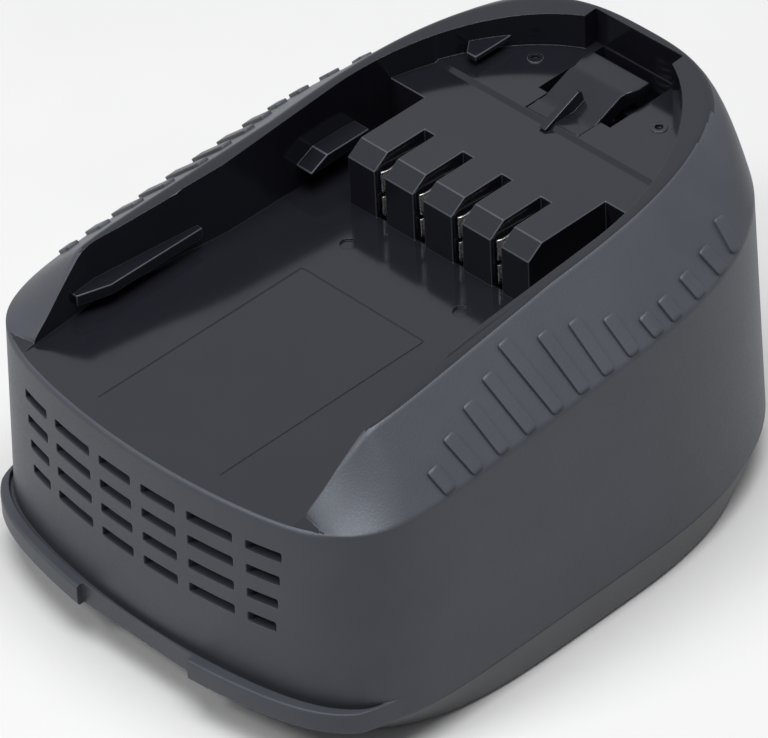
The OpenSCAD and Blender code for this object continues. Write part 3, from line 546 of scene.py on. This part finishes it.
def grip_bar(name, low, high, share, mirror):
    """A flat rib with small round corners that follows the band from its crease upwards."""
    def place_of(k):
        return np.radians(low + (high - low) * k), bar_foot + (share - bar_foot) * k

    length = np.linalg.norm(np.diff(band(*place_of(np.array([0.0, 1.0]))), axis=0))
    end = bar_round * (1 - np.cos(np.linspace(0, np.pi / 2, 6))) / length
    k = np.concatenate([end, np.linspace(end[-1], 1 - end[-1], 14)[1:-1], 1 - end[::-1]])
    t, s = place_of(k)
    middle = band(t, s)
    along = band(*place_of(k + 0.01)) - band(*place_of(k - 0.01))
    along /= np.linalg.norm(along, axis=1, keepdims=True)
    beside = band(t + 0.01, s) - band(t - 0.01, s)
    out = np.cross(beside, along)
    out /= np.linalg.norm(out, axis=1, keepdims=True)
    beside = np.cross(along, out)
    to_end = np.minimum(np.minimum(k, 1 - k) * length / bar_round, 1)
    corner = np.sqrt(1 - (1 - to_end) ** 2)
    rings = []
    for i in range(len(k)):
        half = bar_half - bar_round * (1 - corner[i])
        top = bar_high - bar_edge * (1 - corner[i])
        left = [(-half, -bar_sunk), (-half, top - bar_edge), (-half + bar_edge / 3, top - bar_edge / 3),
                (-half + bar_edge, top)]
        section = [middle[i] + beside[i] * w + out[i] * h for w, h in both_sides(left)]
        rings.append(np.array(section) * (mirror, 1, 1))
    return loft(name, rings)


grip = together([grip_bar("grip_bars", *bar, mirror) for bar in bars for mirror in (1, -1)])
smooth(grip, 35)
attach(grip, "pack")

# Base cover: a shallow tray of the same nylon in a lighter grey, moulded with the same grain.
# Four screws from below pull it against the shell.
tray = grained("base_grain", 8.0, (0.055, 0.056, 0.060), (0.085, 0.086, 0.09), 0.46, 0.5,
               Specular_IOR_Level=0.5)
foot_gap, foot_side, foot_front, foot_rear, foot_square = 0.2, 0.4, 3.6, 6.9, 4.4
tray_floor, tower_r, head_r, head_seat, shank_r = 1.6, 4, 2.35, 3.2, 1.5


def dress(piece, material):
    """Gives a piece one material in place of the shell's two."""
    piece.data.materials.clear()
    piece.data.materials.append(material)


def foot(t, z, inset):
    """Outline of the tray at a height: it leans in towards the ground, most of all at the rear."""
    d = foot_gap + inset
    top = np.stack(wall_plan(t, d), axis=-1)
    low = np.stack(outline(t, half_w - d - foot_side, front_reach - d - foot_front,
                           rear_reach - d - foot_rear, foot_square), axis=-1)
    plan = top + (low - top) * (1 - z / seam_z)
    return np.column_stack([plan, np.full(len(t), z)])


levels = ((0, 1.4), (0, 0.6), (0.7, 0), (seam_z - 0.3, 0.05), (seam_z, 0.3))
skin = rounded([foot(around, z, inset) for z, inset in levels], [0, 0.35, 0.5, 0, 0])
base = loft("base", skin)
combine(base, "DIFFERENCE", loft("tray", [foot(coarse, z, wall) for z in (tray_floor, seam_z + 1)]))
towers = together([disc("tower", x, y, tower_r, 1, seam_z) for x, y in screws])
combine(base, "UNION", combine(towers, "INTERSECT", loft("bound", skin)))
counterbores = [disc("counterbore", x, y, head_r, -1, head_seat) for x, y in screws]
screw_holes = [disc("screw_hole", x, y, shank_r, 2, 8) for x, y in screws]
combine(base, "DIFFERENCE", together(counterbores), together(screw_holes))
dress(base, tray)
smooth(base, 28)
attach(base, "pack")
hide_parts("base_cover")

# Latch lever: a tongue moulded in black acetal in a polished tool, which turns on a steel pin. Its fin
# catches the tool's foot, and a thumb on its pad presses it down.
acetal, surface, place = finish("lever_acetal", Specular_IOR_Level=0.34, Specular_Tint=cool_sheen)
eased, edge = soft_edges(place, 0.12)
patches = noise(place, 5.0, 3.0)
scuffs = noise(place, 0.6, 4.0, (6, 1, 1))
feed(surface, "Base Color", between(patches * 0.6 + edge, (0.006, 0.006, 0.009), (0.011, 0.011, 0.015)))
feed(surface, "Roughness", 0.12 + scuffs * 0.1)
feed(surface, "Normal", bump(patches, 0.03, 0.25, eased))
lever_half, fin_half, pad_half = 5, 0.6, 5.65
knee_y, pad_y, pad_z, pad_under = 39.334, 44.534, 50.655, 48.455
tongue_z, fin_clear, fin_tip = rear_floor_z - 0.03, 0.1, 28.7
tongue = [(toe_y, pivot_z), (toe_y, tongue_z), (pivot_y + 1.5, tongue_z), (knee_y, pad_z), (pad_y, pad_z),
          (pad_y, pad_under), (knee_y + 0.8, pad_under), (pivot_y + 0.6, pivot_z - 0.8)]
fin_side = [(toe_y, pivot_z + 1), (toe_y, rear_floor_z + fin_clear),
            (step_y - 0.05, rear_floor_z + fin_clear), (step_y - 0.8, deck_z + fin_clear),
            (fin_tip + 0.2, deck_z + fin_clear), (fin_tip, deck_z + 0.35),
            (pivot_y + 2.6, rear_floor_z + 2.7), (pivot_y + 3.3, rear_floor_z + 2.3),
            (pivot_y + 3.6, rear_floor_z + 1), (pivot_y + 3.6, rear_floor_z)]
lever = soften(across("lever", tongue, -lever_half, lever_half), 0.2)
barrel = across("barrel", hub(barrel_r), -lever_half, lever_half)
fin = soften(across("fin", fin_side, -fin_half, fin_half), 0.12)
ear_front, ear_back, ear_low, ear_top = pad_y - 4.2, pad_y - 1.6, 45.605, 49.5
ear_x, ear_w, foot_w, foot_top, peg_low = 2.8, 1.6, 5.05, 47.005, 46.855
pad_plan = [(lever_half, ear_front), (pad_half, pad_y - 2.2), (pad_half, pad_y)]
pad = soften(prism("pad", both_sides(pad_plan), pad_under, pad_z), 0.25)
combine(lever, "UNION", barrel, fin, pad)
ears = [block("ear", (x, ear_front, ear_low), (x + ear_w, ear_back, ear_top))
        for x in (-ear_x - ear_w, ear_x)]
feet = [block("foot", (x, ear_front, ear_low), (x + foot_w, ear_back, foot_top))
        for x in (-ear_x - foot_w, ear_x)]
peg = disc("peg", 0, spring_y, peg_r, peg_low, ear_top)
combine(lever, "UNION", together(ears), together(feet), peg)
combine(lever, "DIFFERENCE", across("pin_bore", hub(1.05), -9, 9))
dress(lever, acetal)
smooth(lever, 28)
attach(lever, "latch")
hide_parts("latch_lever")

# Latch spring: a coil of drawn steel wire between the well's floor and the pad.
# It is pressed shorter as the lever goes down in the real pack; this coil is built at its resting length.
wire, surface, place = finish("spring_wire", Metallic=1.0)
drawn = noise(place, 0.25, 4.0, (1, 1, 5))
feed(surface, "Base Color", between(drawn, (0.36, 0.36, 0.37), (0.58, 0.58, 0.59)))
feed(surface, "Roughness", 0.22 + drawn * 0.2)
spring_low, spring_high, wire_r, coil_r, coils = well_z + 0.35, pad_under - 0.35, 0.3, 2.2, 5
rings = []
for a in np.linspace(0, coils * 2 * np.pi, 241):
    rise = spring_low + (spring_high - spring_low) * a / (coils * 2 * np.pi)
    out = np.array([math.cos(a), math.sin(a), 0])
    centre = np.array([0, spring_y, rise]) + coil_r * out
    rings.append([centre + wire_r * (math.cos(b) * out + math.sin(b) * np.array([0, 0, 1]))
                  for b in np.arange(12) * np.pi / 6])
spring = loft("spring", rings)
dress(spring, wire)
smooth(spring, 60)
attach(spring, "pack")
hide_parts("latch_spring")
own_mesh(spring)

# Contact clips: strip of nickel-plated copper alloy, stamped and bent. Each has an upper and a lower pair of
# leaves that close on the tool's blade, and open out at their tips.
plated, surface, place = finish("contact_plating", Metallic=1.0)
rolled = noise(place, 0.3, 4.0, (1, 8, 1))
feed(surface, "Base Color", between(rolled, (0.62, 0.61, 0.59), (0.80, 0.79, 0.77)))
feed(surface, "Roughness", 0.16 + rolled * 0.18)
leaf = ((17.3, 0.50), (14.8, 0.46), (12.6, 0.36), (11.2, 0.20), (10.4, 0.14), (9.7, 0.22), (9.0, 0.46))
leaf_t, leaf_top = 0.3, 46.0
leaf_levels = ((42.6, leaf_top), (38.5, 41.7))
web_off, web_half, web_front, web_back, web_low = 0.63, 0.17, 14.6, 17.33, 36.4
clip_half, clip_low, clip_top, tail_half, tail_low, tail_top = 0.8, 35.105, 36.7, 0.4, 33.005, 35.2
clip_names = ("terminal_negative", "terminal_code", "terminal_temp", "terminal_positive")
for name, slot_x in zip(clip_names, slots):
    strips = []
    for s in (-1, 1):
        plan = [(slot_x + s * x, y) for y, x in leaf]
        plan += [(slot_x + s * (x + leaf_t), y) for y, x in leaf[::-1]]
        strips += [soften(prism("leaf", plan, low, high), 0.06) for low, high in leaf_levels]
        web_x = slot_x + s * web_off
        strips.append(soften(block("web", (web_x - web_half, web_front, web_low),
                                   (web_x + web_half, web_back, leaf_top)), 0.06))
    strips.append(soften(block("foot", (slot_x - clip_half, tip_y + 1.2, clip_low),
                               (slot_x + clip_half, slot_y - 0.7, clip_top)), 0.1))
    strips.append(block("tail", (slot_x - tail_half, tip_y + 3.2, tail_low),
                        (slot_x + tail_half, tip_y + 5.2, tail_top)))
    clip = together(strips)
    clip.name = name + "_clip"
    dress(clip, plated)
    smooth(clip, 40)
    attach(clip, "pack")
    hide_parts(name)


# Inner parts: cells in shrink sleeves, held by moulded frames and welded with nickel strip, a board with its
# chips, two leads, card sheets, screws and the latch's pin. Their solids stay as they are.
def inner(name, low, high, size, stretch, rough, depth, nodes, **constants):
    """A finish with its own grain for some of the model's own solids."""
    material, surface, place = finish(name, **constants)
    grain = noise(place, size, 4.0, stretch)
    normal = place.node("ShaderNodeNewGeometry", {}, {}, "Normal")
    feed(surface, "Base Color", between(grain, low, high))
    feed(surface, "Roughness", rough + grain * 0.2)
    feed(surface, "Normal", bump(grain, depth, 0.4, normal))
    for node in nodes:
        dress(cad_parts[node], material)


inner("cell_sleeve", (0.010, 0.030, 0.036), (0.022, 0.055, 0.065), 2.0, (6, 1, 1), 0.3, 0.03,
      ["cell_1", "cell_2", "cell_3", "cell_4", "cell_5"])
inner("frame_nylon", (0.018, 0.018, 0.020), (0.035, 0.035, 0.038), 0.5, (1, 1, 1), 0.45, 0.04,
      ["cell_frame_left", "cell_frame_right", "terminal_block"])
inner("nickel_strip", (0.50, 0.48, 0.44), (0.68, 0.66, 0.61), 0.4, (1, 7, 1), 0.22, 0.01,
      ["strap_negative", "strap_12", "strap_23", "strap_34", "strap_45", "strap_positive"], Metallic=1.0)
inner("pressed_card", (0.40, 0.35, 0.24), (0.56, 0.50, 0.36), 0.6, (1, 3, 1), 0.6, 0.05,
      ["insulator_left", "insulator_right"])
inner("solder_mask", (0.012, 0.075, 0.035), (0.03, 0.13, 0.06), 1.6, (1, 3, 1), 0.22, 0.03,
      ["circuit_board"])
inner("chip_resin", (0.014, 0.014, 0.015), (0.028, 0.028, 0.03), 0.3, (1, 1, 1), 0.4, 0.02,
      ["power_transistors", "control_chip", "thermistor"])
inner("black_lead", (0.010, 0.010, 0.010), (0.022, 0.022, 0.022), 0.4, (1, 5, 1), 0.42, 0.02,
      ["negative_lead"])
inner("red_lead", (0.22, 0.012, 0.010), (0.34, 0.022, 0.018), 0.4, (1, 1, 5), 0.42, 0.02,
      ["positive_lead"])
inner("turned_steel", (0.42, 0.42, 0.43), (0.62, 0.62, 0.63), 0.3, (5, 1, 1), 0.22, 0.01,
      ["latch_pin", "case_screws", "board_screws"], Metallic=1.0)

# Floor and light: a pale studio table under a large soft lamp, with a smaller one in front
# and a white room round it.
ground = bpy.data.meshes.new("floor")
ground.from_pydata([(-3, -3, 0), (3, -3, 0), (3, 3, 0), (-3, 3, 0)], [], [(0, 1, 2, 3)])
table = bpy.data.objects.new("floor", ground)
bpy.context.scene.collection.objects.link(table)
paper, surface, place = finish("table_paper", Roughness=0.9, Specular_IOR_Level=0.1)
feed(surface, "Base Color", between(noise(place, 30.0, 2.0), (0.55, 0.55, 0.55), (0.58, 0.58, 0.58)))
ground.materials.append(paper)


def lamp(name, place, size, watts, target=(0, 0, 0.03)):
    """A square soft lamp that faces a point. Its place and size are in metres."""
    light = bpy.data.lights.new(name, "AREA")
    light.size = size
    light.energy = watts
    piece = bpy.data.objects.new(name, light)
    piece.location = place
    piece.rotation_euler = (Vector(target) - Vector(place)).to_track_quat("-Z", "Y").to_euler()
    bpy.context.scene.collection.objects.link(piece)


lamp("top", (0.1, -0.05, 1.0), 0.7, 14.0)
lamp("front", (-0.21, -0.62, 0.75), 0.25, 3.5)

world = bpy.data.worlds.new("room")
bpy.context.scene.world = world
world.use_nodes = True
background = world.node_tree.nodes["Background"]
path = world.node_tree.nodes.new("ShaderNodeLightPath")
seen = Shade(world.node_tree, path.outputs["Is Camera Ray"])
mirror = Shade(world.node_tree, path.outputs["Is Glossy Ray"])
through = Shade(world.node_tree, path.outputs["Is Transmission Ray"])
shown = seen.sum_of("MINIMUM", seen + mirror + through, 1.0)
feed(background, "Color", between(shown, (0.2, 0.2, 0.21), (1.0, 1.0, 1.0)))
bpy.context.scene.view_settings.view_transform = "Standard"


bpy.context.view_layer.update()
